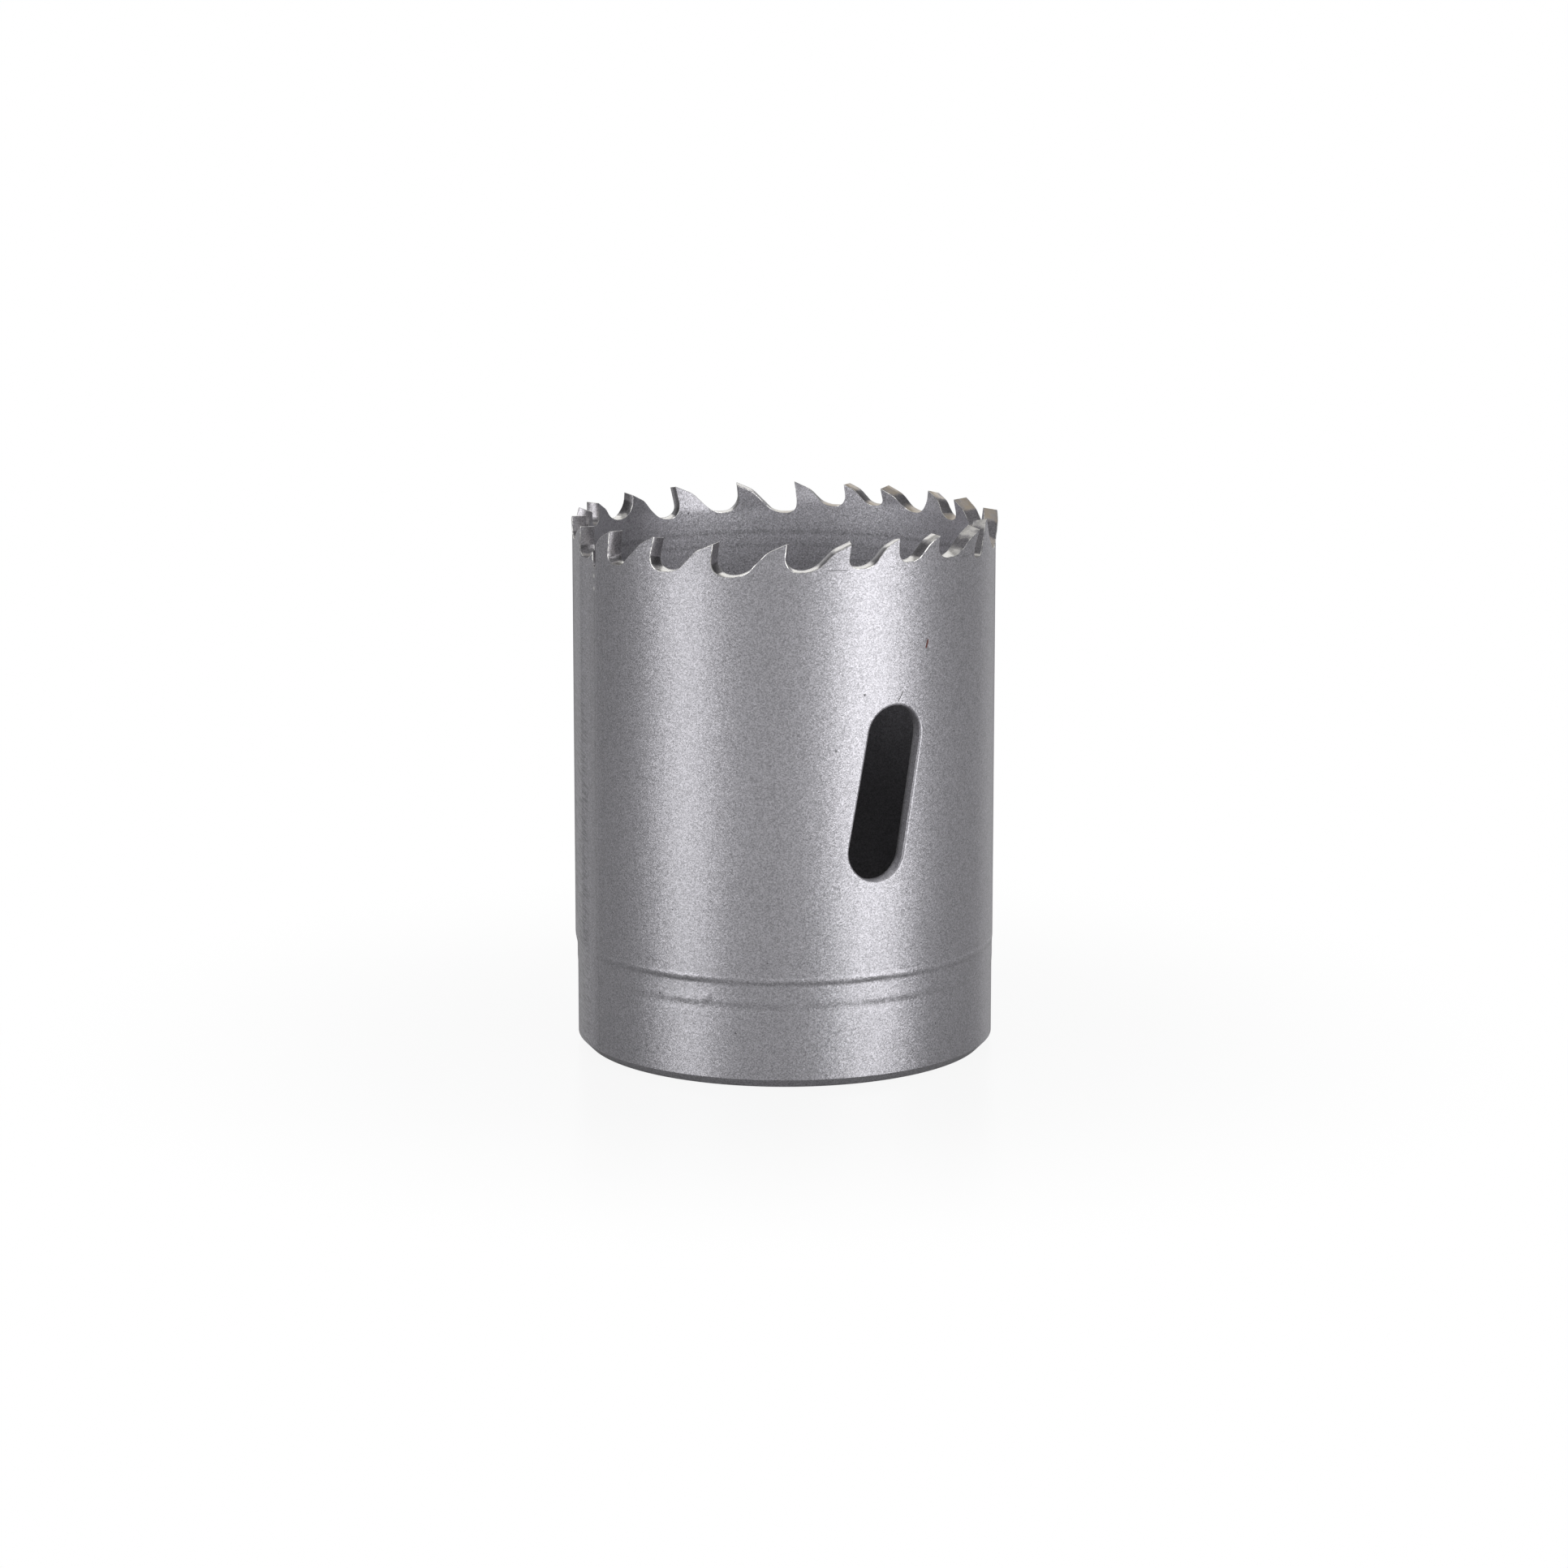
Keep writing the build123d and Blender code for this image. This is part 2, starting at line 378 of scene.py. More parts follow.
thicken(strip)
soften(strip, rim(strip, True, tooth_zone, above_all), tooth_edge, 2, worn_slot)
soften(strip, rim(strip, False, tooth_zone, above_all), inner_tooth_edge, 2, worn_slot)
soften(strip, cutting_edges(strip), tip_edge, 1, worn_slot)
soften(strip, rim(strip, True, mm, slot_top), slot_mouth, 4)
soften(strip, rim(strip, False, mm, slot_top), slot_back, 2)
soften(strip, rim(strip, False, -mm, mm), rim_edge, 2)
print("thick strip: %d corners, %d faces" % (len(strip.verts), len(strip.faces)))

# %% [markdown]
# ## Cutting the strip into narrow bands
#
# A flat face can't bend, so the strip is cut into narrow upright bands before it is rolled, and across
# wherever the wall bends or steps. The cuts come after the bevels, so no bevel meets a sliver.

# %% Bands
band_count = 240
seam_flat_turn = radians(-4.7)
seam_flat_depth = 0.1 * mm
seam_flat_half = acos((outer_radius - seam_flat_depth) / outer_radius)
flat_places = [outer_radius * (seam_flat_turn + side * seam_flat_half) % girth for side in (-1, 1)]
base_chamfer = 0.8 * mm
# Heights of the level cuts in millimetres: the chamfer, the two turned steps, the body, the teeth.
level_cuts = [0.4, 0.8, 1.2]
level_cuts += [6.9, 7.15, 7.3, 7.5, 7.75, 8.8, 9.0, 9.15, 9.3, 9.4, 9.5, 9.65, 9.8, 10.0]
level_cuts += [20.0, 33.0, 40.0, 43.0]
level_cuts += [44.3 + 0.3 * step for step in range(12)]


def cut_bands(shape):
    """Upright cuts all along the strip and level cuts at the steps and over the teeth."""
    for number in range(1, band_count):
        cut(shape, (girth * number / band_count, 0, 0), (1, 0, 0))
    for place in flat_places:
        cut(shape, (place, 0, 0), (1, 0, 0))
    for height in level_cuts:
        cut(shape, (0, 0, height * mm), (0, 0, 1))


def crease(shape, sharp=radians(35)):
    """Mark edges that stay crisp: steep ones, those between a flat side and its bevels, the chamfer's."""
    line = {corner for corner in shape.verts if abs(corner.co.z - base_chamfer) < 10 * tiny}
    line = {corner for corner in line if corner.co.y > -wall / 2}
    for edge in shape.edges:
        flat = [abs(face.normal.y) > 0.999 for face in edge.link_faces]
        edge.smooth = len(flat) < 2 or (flat[0] == flat[1] and edge.calc_face_angle() < sharp)
        if line.issuperset(edge.verts):
            edge.smooth = False


cut_bands(strip)
crease(strip)
print("banded strip: %d corners, %d faces" % (len(strip.verts), len(strip.faces)))

# %% [markdown]
# ## Setting the teeth
#
# Teeth are pushed out and in by turns, so that the saw cuts a path wider than its wall. Each tooth
# bends over a short arc above its gullets and then leans straight, so every point above the bend is
# carried round that arc.

# %% Tooth setting
set_distance = 0.4 * mm
bend_radius = 2.5 * mm + wall / 2
bend_rise = 0.05 * mm
joint_share = 0.6
joints = [tips[index] + gullet(index)["land"] + joint_share * gullet_land for index in range(len(teeth))]


def bend_start(index):
    """Height at which a tooth starts to bend: just above the shallower of its two gullets."""
    shallow = min(gullet(index - 1)["depth"], gullet(index)["depth"])
    return tip_height - shallow + bend_rise


def lean_angle(index):
    """Lean that carries the tip out by its share of the set distance."""
    distance = abs(teeth[index][2]) * set_distance
    rise = tip_height - bend_start(index)
    return 2 * atan((rise - sqrt(rise**2 - 2 * bend_radius * distance)) / (2 * bend_radius))


leans = [lean_angle(index) for index in range(len(teeth))]
starts = [bend_start(index) for index in range(len(teeth))]


def set_tooth(corner):
    """Place of a corner after its tooth is set."""
    index = bisect.bisect_left(joints, corner.x) % len(teeth)
    rise = corner.z - starts[index]
    if rise <= 0 or not leans[index]:
        return corner
    side = 1 if teeth[index][2] > 0 else -1
    turn = min(rise / bend_radius, leans[index])
    straight = rise - bend_radius * turn
    across = corner.y + wall / 2
    out = bend_radius * (1 - cos(turn)) + straight * sin(turn)
    up = bend_radius * sin(turn) + straight * cos(turn)
    return Vector((
        corner.x,
        side * out + across * cos(turn) - wall / 2,
        starts[index] + up - side * across * sin(turn),
    ))


print("leans: %.1f to %.1f degrees" % (degrees(min(leans)), degrees(max(leans))))

# %% [markdown]
# ## Turned steps
#
# The outside is turned down a little where the back plate sits, and the closed rim is chamfered. The
# lathe held the cup slightly off centre, so the step is deep on one side and fades on the other.

# %% Turned outside
upper_step_height = 9.4 * mm
lower_step_height = 7.2 * mm
step_mean = 0.11 * mm
step_swing = 0.07 * mm
deep_side = radians(151.8)
groove_depth = 0.03 * mm
groove_spread = 0.5 * mm
step_spread, step_spread_swing = 0.25 * mm, 0.35 * mm


def ramp(value, start, end):
    """Smooth rise from 0 at the start to 1 at the end."""
    share = min(max((value - start) / (end - start), 0.0), 1.0)
    return share * share * (3 - 2 * share)


def turned_depth(azimuth, height):
    """How far the outside is turned down at a place."""
    off_centre = cos(azimuth - deep_side)
    step = step_mean + step_swing * off_centre
    spread = step_spread + step_spread_swing * (1 + off_centre) / 2
    depth = step * (1 - ramp(height, upper_step_height - spread, upper_step_height + spread))
    depth += groove_depth * (1 - ramp(height, lower_step_height, lower_step_height + groove_spread))
    return depth + max(base_chamfer - height, 0.0)


# %% [markdown]
# ## Rolling and welding
#
# The strip is rolled so that its outside keeps its length. The teeth were milled along one direction
# each, a little off square, and the slots straight through, so points on the inside shift along the
# wall. Last, the ends are merged and the weld is ground flat on the outside.

# %% Rolling
slot_near, slot_far = 4 * mm, 7 * mm
milled_start, milled_full = 40 * mm, 44 * mm
weld_reach, weld_gap = 0.02 * mm, 0.01 * mm


def piecewise(value, knots):
    """Straight-line reading of a list of (place, amount)."""
    place = bisect.bisect_left(knots, (value,))
    if place == 0 or place == len(knots):
        return knots[min(place, len(knots) - 1)][1]
    (start, low), (end, high) = knots[place - 1], knots[place]
    return low + (high - low) * (value - start) / (end - start)


def milling_knots():
    """How far from its own tooth's middle each gullet's ends lie, along the strip."""
    knots = []
    for index in range(len(tips)):
        middle = tips[index] - milling_skew
        before, after = gullet(index - 1), gullet(index)
        foot = tips[index] - before["back_run"] - before["back_arc"]
        land = tips[index] + after["land"]
        knots += [(foot, foot - middle), (land, land - middle)]
    return knots


def slot_knots():
    """The same for the slots: straight across each slot, and back to nothing beside it."""
    knots = []
    for place in slot_places:
        knots += [(place - slot_far, 0.0), (place - slot_near, -slot_near)]
        knots += [(place + slot_near, slot_near), (place + slot_far, 0.0)]
    return knots


mill_shift, slot_shift = milling_knots(), slot_knots()


def roll_corner(corner):
    """Place on the tube of a corner of the flat strip."""
    across = set_tooth(corner)
    depth = -corner.y / (outer_radius + corner.y)
    toothed = ramp(corner.z, milled_start, milled_full)
    along = piecewise(corner.x, mill_shift) * toothed + piecewise(corner.x, slot_shift) * (1 - toothed)
    azimuth = seam_azimuth + (corner.x + depth * along) / outer_radius
    outside = 1 if corner.y > -wall / 2 else 0
    radius = outer_radius + across.y - outside * turned_depth(azimuth, corner.z)
    return Vector((radius * cos(azimuth), radius * sin(azimuth), across.z))


def weld_and_grind(shape):
    """Merge the two ends, and grind the weld flat on the outside."""
    near = [corner for corner in shape.verts if corner.co.x < 0 and abs(corner.co.y) < weld_reach]
    bmesh.ops.remove_doubles(shape, verts=near, dist=weld_gap)
    facing = Vector((cos(seam_azimuth + seam_flat_turn), sin(seam_azimuth + seam_flat_turn), 0))
    limit = outer_radius - seam_flat_depth
    for corner in shape.verts:
        proud = corner.co.dot(facing) - limit
        if proud > 0 and corner.co.z < tooth_zone + mm:
            corner.co -= facing * proud


def open_edges(shape):
    """Number of edges that don't join two faces."""
    return sum(1 for edge in shape.edges if not edge.is_manifold)


for corner in strip.verts:
    corner.co = roll_corner(corner.co)
weld_and_grind(strip)
bmesh.ops.recalc_face_normals(strip, faces=strip.faces[:])
print("rolled shell: %d corners, %d open edges" % (len(strip.verts), open_edges(strip)))

# %% [markdown]
# ## Finished pieces
#
# Every new piece is made an object at the origin, shaded smooth between its creases, and set to ride
# on the one body.

# %% Piece helper
def add_object(shape, name, materials):
    """Turn a bmesh into an object of the scene, with its materials."""
    mesh = bpy.data.meshes.new(name)
    shape.to_mesh(mesh)
    shape.free()
    for material in materials:
        mesh.materials.append(material)
    made = bpy.data.objects.new(name, mesh)
    bpy.context.scene.collection.objects.link(made)
    return made


def finish_piece(shape, name, materials):
    """Turn a bmesh into a smooth piece that rides on the body."""
    for face in shape.faces:
        face.smooth = True
    piece = add_object(shape, name, materials)
    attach(piece, "root")
    piece.data.calc_loop_triangles()
    print(name, "triangles:", len(piece.data.loop_triangles))
    return piece


# %% [markdown]
# ## Shader maths
#
# A finish is easier to read as a sum than as a drawing of nodes. A wire wraps one output socket, and
# adding or multiplying wires adds the Math nodes. Every other node comes from draw, which sets the
# node's settings first and then fills or links its sockets. The few nodes that all finishes start
# from have short names too.

# %% Wires
class Wire:
    """An output socket that can be added, multiplied and compared; each use adds a Math node."""

    def __init__(self, tree, socket):
        self.tree = tree
        self.socket = socket

    def maths(self, operation, *values):
        return draw(self.tree, "ShaderNodeMath", {"operation": operation}, dict(enumerate(values)))

    def __add__(self, other):
        return self.maths("ADD", self, other)

    def __sub__(self, other):
        return self.maths("SUBTRACT", self, other)

    def __rsub__(self, other):
        return self.maths("SUBTRACT", other, self)

    def __mul__(self, other):
        return self.maths("MULTIPLY", self, other)

    def __truediv__(self, other):
        return self.maths("DIVIDE", self, other)

    def __gt__(self, other):
        return self.maths("GREATER_THAN", self, other)

    __radd__ = __add__
    __rmul__ = __mul__

    def ramp(self, start, end):
        """0 before the start, 1 after the end, smooth between; the end may be the lower one."""
        settings = {"interpolation_type": "SMOOTHSTEP"}
        inputs = {"Value": self, "From Min": start, "From Max": end}
        return draw(self.tree, "ShaderNodeMapRange", settings, inputs)

    def bump_at(self, place, width):
        """1 at a place, fading to 0 at a width on either side."""
        away = self.maths("ABSOLUTE", self - place)
        return 1 - away.ramp(0, width)


def feed(node, inputs):
    """Fill the sockets of a node with values, or link wires to them."""
    for name, value in inputs.items():
        if isinstance(value, Wire):
            value.tree.links.new(value.socket, node.inputs[name])
        else:
            node.inputs[name].default_value = value


def draw(tree, kind, settings, inputs, output=0):
    """Add a node: its settings first, then the values or wires of its sockets."""
    node = tree.nodes.new(kind)
    for name, value in settings.items():
        setattr(node, name, value)
    feed(node, inputs)
    return Wire(tree, node.outputs[output])


def vector(operation, *values, output=0):
    """One Vector Math node, whose first value is a wire."""
    settings = {"operation": operation}
    return draw(values[0].tree, "ShaderNodeVectorMath", settings, dict(enumerate(values)), output=output)


def split(place):
    """The three parts of a vector."""
    return [draw(place.tree, "ShaderNodeSeparateXYZ", {}, {0: place}, output=part) for part in range(3)]


def axis_distance(x, y):
    return x.maths("SQRT", x * x + y * y)


def blend(amount, first, second, clamped=True):
    settings = {"data_type": "RGBA", "clamp_factor": clamped}
    return draw(amount.tree, "ShaderNodeMix", settings, {0: amount, 6: first, 7: second}, output=2)


# %% Material parts
def principled(name):
    """New material, its shader, and the place of a point on the object in metres."""
    material = bpy.data.materials.new(name)
    material.use_nodes = True
    place = draw(material.node_tree, "ShaderNodeTexCoord", {}, {}, output="Object")
    return material, material.node_tree.nodes["Principled BSDF"], place


def surface_normal(tree):
    return draw(tree, "ShaderNodeNewGeometry", {}, {}, output="Normal")


def light_ray(tree, kind):
    """1 for rays of one kind, 0 for all others."""
    return draw(tree, "ShaderNodeLightPath", {}, {}, output=kind)


def mix_shaders(amount, first, second):
    return draw(amount.tree, "ShaderNodeMixShader", {}, {0: amount, 1: first, 2: second})


def bump(height, **inputs):
    """The normal, bent by a relief in metres."""
    return draw(height.tree, "ShaderNodeBump", {}, {"Height": height, "Distance": 1.0, **inputs})


# %% [markdown]
# ## Lamps
#
# A tube shows its lamps as upright bright bands. Two tall soft lamps stand left and right of the
# camera, and two weak ones behind. A lamp has a lower and an upper panel, because the bands are a
# little stronger low down. They reach below the floor: the camera looks down, so the tube mirrors
# what is below the horizon.

# %% Lamps
lamp_distance = 1.2
lamp_foot, lamp_waist, lamp_top = -0.5, 0.15, 1.0
# Name, turn from the camera's side in degrees, width, and the levels of the lower and upper panels.
lamps = [
    ("left", -55, 0.62, 2.2, 1.95),
    ("right", 48, 0.85, 3.0, 2.35),
    ("rear_left", -150, 0.6, 0.3, 0.3),
    ("rear_right", 150, 0.6, 0.34, 0.34),
]


def soft_lamp(name, turn, width, low, high, level):
    """Area lamp between two heights, at a turn from the camera's side, facing the tube."""
    data = bpy.data.lights.new(name, "AREA")
    data.shape = "RECTANGLE"
    data.size = width
    data.size_y = high - low
    data.energy = level * pi * width * (high - low)
    lamp = bpy.data.objects.new(name, data)
    azimuth = camera_turn + radians(turn)
    lamp.location = (lamp_distance * sin(azimuth), -lamp_distance * cos(azimuth), (low + high) / 2)
    aim = Vector((0, 0, lamp.location.z)) - lamp.location
    lamp.rotation_euler = aim.to_track_quat("-Z", "Y").to_euler()
    lamp.visible_camera = False
    bpy.context.scene.collection.objects.link(lamp)


for side, turn, width, lower, upper in lamps:
    soft_lamp(side + "_low_lamp", turn, width, lamp_foot, lamp_waist, lower)
    soft_lamp(side + "_high_lamp", turn, width, lamp_waist, lamp_top, upper)
print("lamps: %d panels" % (2 * len(lamps)))

# %% [markdown]
# ## Room
#
# The world answers each kind of ray in its own way. The camera sees it white. Matt surfaces get a
# plain light grey. Polished ones see a room: a white backdrop behind the object, dim walls and floor,
# and a lighter ceiling. The room is fixed round the object, so it doesn't move with the view. A fade
# is a start and an end along one direction.

# %% Room
plain_level = 0.68
low_share = 0.15
side_level = 0.12
low_level = 0.12
front_level = 0.20
overhead_level = 0.6
backdrop_near, backdrop_side = (0.2, 0.5), (0.42, 0.30)
backdrop_top, backdrop_foot = (0.7, 0.5), (-0.05, 0.05)
horizon_fade, ceiling_fade = (0.0, -0.1), (0.62, 0.85)
front_fade, wall_fade = (0.2, 0.95), (0.1, 0.8)
near_wall, far_wall, right_loss = 0.65, 0.9, 0.25

world = bpy.data.worlds.new("room")
bpy.context.scene.world = world
world.use_nodes = True
room = world.node_tree
looking = draw(room, "ShaderNodeTexCoord", {}, {})
turned = draw(room, "ShaderNodeMapping", {}, {"Vector": looking, "Rotation": (0, 0, -camera_turn)})
across, away, upward = split(turned)
aside = across.maths("ABSOLUTE", across)
backdrop = away.ramp(*backdrop_near) * aside.ramp(*backdrop_side)
backdrop = backdrop * upward.ramp(*backdrop_top) * upward.ramp(*backdrop_foot)
below = upward.ramp(*horizon_fade)
in_front = (0 - away).ramp(*front_fade)
walls = side_level * (near_wall + far_wall * away.ramp(*wall_fade)) * (1 - right_loss * across)
mirrored = walls + (1 - walls) * backdrop + (low_level - walls) * below + front_level * in_front
mirrored = mirrored + (overhead_level - mirrored) * upward.ramp(*ceiling_fade)
plain = plain_level * (1 - (1 - low_share) * below)
seen, glossy = light_ray(room, "Is Camera Ray"), light_ray(room, "Is Glossy Ray")
level = seen + (1 - seen) * (glossy * mirrored + (1 - glossy) * plain)
feed(room.nodes["Background"], {"Color": (1, 1, 1, 1), "Strength": level})
print("room: %d nodes" % len(room.nodes))

# %% [markdown]
# ## Floor
#
# The floor is a small pale disc that fades to white at its rim. The camera sees mostly plain white,
# with a little of the lit surface mixed in for the shadow. It is nearly clear to reflections, or the
# tube, which stands so close to it, would lose its bright bands low down.

# %% Floor
floor_radius = 0.075
floor_white, floor_clear = 0.9, 0.85
floor_fade = (0.3 * floor_radius, 0.95 * floor_radius)


def pale_floor():
    """Matt floor that the camera sees nearly white."""
    material, shader, place = principled("pale_floor")
    tree = place.tree
    feed(shader, {"Base Color": (0.5, 0.5, 0.5, 1), "Roughness": 0.2, "IOR": 1.7})
    outward = vector("LENGTH", place, output=1)
    pale = floor_white + (1 - floor_white) * outward.ramp(*floor_fade)
    white = draw(tree, "ShaderNodeEmission", {}, {"Color": (1, 1, 1, 1), "Strength": 1.0})
    lit = Wire(tree, shader.outputs[0])
    mixed = mix_shaders(light_ray(tree, "Is Camera Ray") * pale, lit, white)
    clear = draw(tree, "ShaderNodeBsdfTransparent", {}, {})
    surface = mix_shaders(light_ray(tree, "Is Glossy Ray") * floor_clear, mixed, clear)
    feed(tree.nodes["Material Output"], {"Surface": surface})
    return material


disc = bmesh.new()
bmesh.ops.create_circle(disc, cap_ends=True, segments=64, radius=floor_radius)
floor = add_object(disc, "floor", [pale_floor()])
print("floor: radius %.0f mm" % (floor_radius / mm))

# %% [markdown]
# ## Silver paint
#
# The paint is full of aluminium flakes that lie nearly flat. Each flake is a small cell whose normal
# leans its own way, so it sparkles where the light changes quickly and goes calm where it doesn't.
# All finishes are mixed from a few such patterns, which stay sharp at any distance.

# %% Patterns
def cells(place, size, output):
    """Cells of a given size in metres: output 0 is the distance to a cell's middle, 1 its colour."""
    settings = {"feature": "F1", "voronoi_dimensions": "3D"}
    inputs = {"Vector": place, "Scale": 1 / size}
    return draw(place.tree, "ShaderNodeTexVoronoi", settings, inputs, output=output)


def grain(place, size, detail=2.0):
    """Soft noise of a given size in metres, between 0 and 1."""
    inputs = {"Vector": place, "Scale": 1 / size, "Detail": detail}
    return draw(place.tree, "ShaderNodeTexNoise", {}, inputs)


def flake_tone(place):
    """A random tone for every flake."""
    return split(cells(place, 0.08 * mm, 1))[0]


def stretched(place, scale):
    """The place, scaled differently along each axis, which draws a pattern out."""
    return draw(place.tree, "ShaderNodeMapping", {}, {"Vector": place, "Scale": scale})


def lean_normal(tilt, amount):
    """The surface normal, leaned by a random colour."""
    centred = vector("SUBTRACT", tilt, (0.5, 0.5, 0.5))
    leaned = draw(tilt.tree, "ShaderNodeVectorMath", {"operation": "SCALE"}, {0: centred, "Scale": amount})
    return vector("NORMALIZE", vector("ADD", surface_normal(tilt.tree), leaned))


# %% [markdown]
# ## Single marks
#
# A mark is put where one would point at it, by its turn from the seam and its height. A spot fades
# out round such a point, and a stroke beside a short line. Both are distances in space, so they need
# no unwrapped surface.

# %% Spots and strokes
def on_shell(turn, height):
    """Point on the outside, by its turn from the seam in degrees and its height in millimetres."""
    azimuth = seam_azimuth + radians(turn)
    return Vector((outer_radius * cos(azimuth), outer_radius * sin(azimuth), height * mm))


def spot(place, point, size):
    """1 at a point of the surface, fading to 0 at its size."""
    return 1 - vector("DISTANCE", place, tuple(point), output=1).ramp(0, size)


def stroke(place, start, end, width):
    """1 along a short straight line on the surface, fading to 0 beside it."""
    half = (end - start).length / 2
    away = vector("SUBTRACT", place, tuple((start + end) / 2))
    line = tuple((end - start).normalized())
    along = vector("DOT_PRODUCT", away, line, output=1)
    beside = vector("LENGTH", vector("CROSS_PRODUCT", away, line), output=1)
    along = along.maths("ABSOLUTE", along)
    return (1 - beside.ramp(0.3 * width, width)) * (1 - along.ramp(half, half + width))


nub_point, nub_size = on_shell(40.8, 8.0), 0.6 * mm
bright_spot_points, bright_spot_size = (on_shell(-0.4, 43.5), on_shell(-0.4, 42.4)), 0.3 * mm
bright_spot_white = (0.9, 0.89, 0.87, 1.0)
strokes = [
    (on_shell(102.6, 38.2), on_shell(103.2, 38.8), 0.14 * mm, (0.16, 0.05, 0.04, 1.0)),
    (on_shell(93.4, 33.8), on_shell(94.9, 34.6), 0.07 * mm, (0.05, 0.05, 0.05, 1.0)),
]


def marked(place, silver):
    """The paint with two near-white spots under the open weld, a brown fleck and a hair scratch."""
    silver = blend(sum(spot(place, point, bright_spot_size) for point in bright_spot_points), silver, bright_spot_white)
    for start, end, width, shade in strokes:
        silver = blend(stroke(place, start, end, width), silver, shade)
    return silver


# %% [markdown]
# ## Marks under the paint
#
# The marks of the work show through the thin paint. Turning the closed end left a groove with a
# raised lip and a softer groove below, both patchy and ground away beside the weld, where the grinder
# left slanting streaks. A turned line is a height, a width and a strength, which is a depth for the
# relief and a share for the tone. The lines of tone are painted light and shade: a painted highlight
# on the lip and painted shade in the two grooves.

# %% Turned and ground marks
relief_lines = [(9.70, 0.40, 0.04), (9.25, 0.30, -0.02), (7.75, 0.60, 0.02), (7.15, 0.60, -0.03)]
# Lines of tone: a painted highlight on the lip, and painted shade in the two grooves.
painted_lip_and_groove_light = [(9.85, 0.22, 1.0), (9.35, 0.30, -1.0), (7.20, 0.40, -0.6)]
inner_lines = [(43.3, 0.35, 1.0), (42.1, 0.40, 0.6)]
weld_side, weld_spread = radians(-6), radians(28)
ground_start, ground_end = (radians(-30), radians(-22)), (radians(-4), radians(-9))
ground_height = (37 * mm, 29 * mm)
streak_slope = 0.19
streak_size = 0.17 * mm


def lines_at(height, lines):
    """Sum of fading level lines, each a height and a width in millimetres and a strength."""
    return sum(strength * height.bump_at(level * mm, width * mm) for level, width, strength in lines)


def broken_up(place, turn, lumps):
    """How much of the turned lines shows: patches all round, and nothing beside the weld."""
    patches = 0.3 + 0.7 * grain(place, 5 * mm).ramp(0.35, 0.62)
    return (1 - turn.bump_at(weld_side, weld_spread)) * patches * (1.9 * lumps)


def ground_streaks(height, turn):
    """Where the grinder went beside the weld, and its slanting streaks."""
    ground = turn.ramp(*ground_start) * turn.ramp(*ground_end) * (0.3 + 0.7 * height.ramp(*ground_height))
    slanted = {0: turn * outer_radius, 1: height + turn * (streak_slope * outer_radius)}
    unrolled = draw(turn.tree, "ShaderNodeCombineXYZ", {}, slanted)
    return ground, grain(stretched(unrolled, (0.10, 1.0, 1.0)), streak_size, 1.0)


def dust_specks(place):
    """Specks of dust under the paint, in some cells of a coarse pattern."""
    chosen = split(cells(place, 2.0 * mm, 1))[0] > 0.62
    return (1 - cells(place, 2.0 * mm, 0).ramp(0.03, 0.065)) * chosen


# %% [markdown]
# ## Paint inside the cup
#
# The paint inside is lighter than the paint outside, as painted light, and darker towards the plate.
# Beside the weld it is darker as painted shade, and on one side near the rim it is lighter.

# %% Paint inside
# The inside paint is made lighter than the outside, as painted light.
inside_painted_light_gain = 1.32
deep_share = 0.38
deep_fade = (17 * mm, 48 * mm)
# Turns of the side beside the weld that is darkened as painted shade.
shaded_side_start, shaded_side_end = (radians(-82), radians(-64)), (radians(2), radians(-10))
# Turns of the side that is coloured lighter near the rim.
lighter_side_start, lighter_side_end = (radians(-95), radians(-125)), (radians(-175), radians(-160))


def painted_cup_light_and_shade(height, turn, wander):
    """Painted light and shade of the paint inside, from the plate up to the teeth."""
    # Darker towards the plate.
    shade = deep_share + (1 - deep_share) * (height + 6 * mm * wander).ramp(*deep_fade)
    # Painted shade beside the weld.
    shaded_side = turn.ramp(*shaded_side_start) * turn.ramp(*shaded_side_end)
    # Lighter on one side, near the rim.
    thick = turn.ramp(*lighter_side_start) * turn.ramp(*lighter_side_end) * height.ramp(40 * mm, 44 * mm)
    return shade * (1 - 0.42 * shaded_side) * (1 + 0.22 * thick) * inside_painted_light_gain


def slot_wall_painted_light(radius, height):
    """1 on the cut walls of the slots, where the paint is lightened as painted light."""
    within = radius.ramp(outer_radius - 0.12 * mm, outer_radius - 0.3 * mm)
    return within * height.ramp(12 * mm, 14 * mm) * height.ramp(38 * mm, 36 * mm)


# %% [markdown]
# ## The paint itself
#
# The relief is one sum of heights in millimetres, and the tone one product of shares, so each mark
# has a line of its own. The edge line is where the harder steel was welded to the strip. The coat is
# soft, so that the paint doesn't look wet.

# %% Paint
paint_silver = (0.42, 0.412, 0.442, 1.0)
black = (0.0, 0.0, 0.0, 1.0)
flake_size, flake_tilt = 0.075 * mm, 0.18
edge_height, edge_width = 45.5 * mm, 0.07 * mm


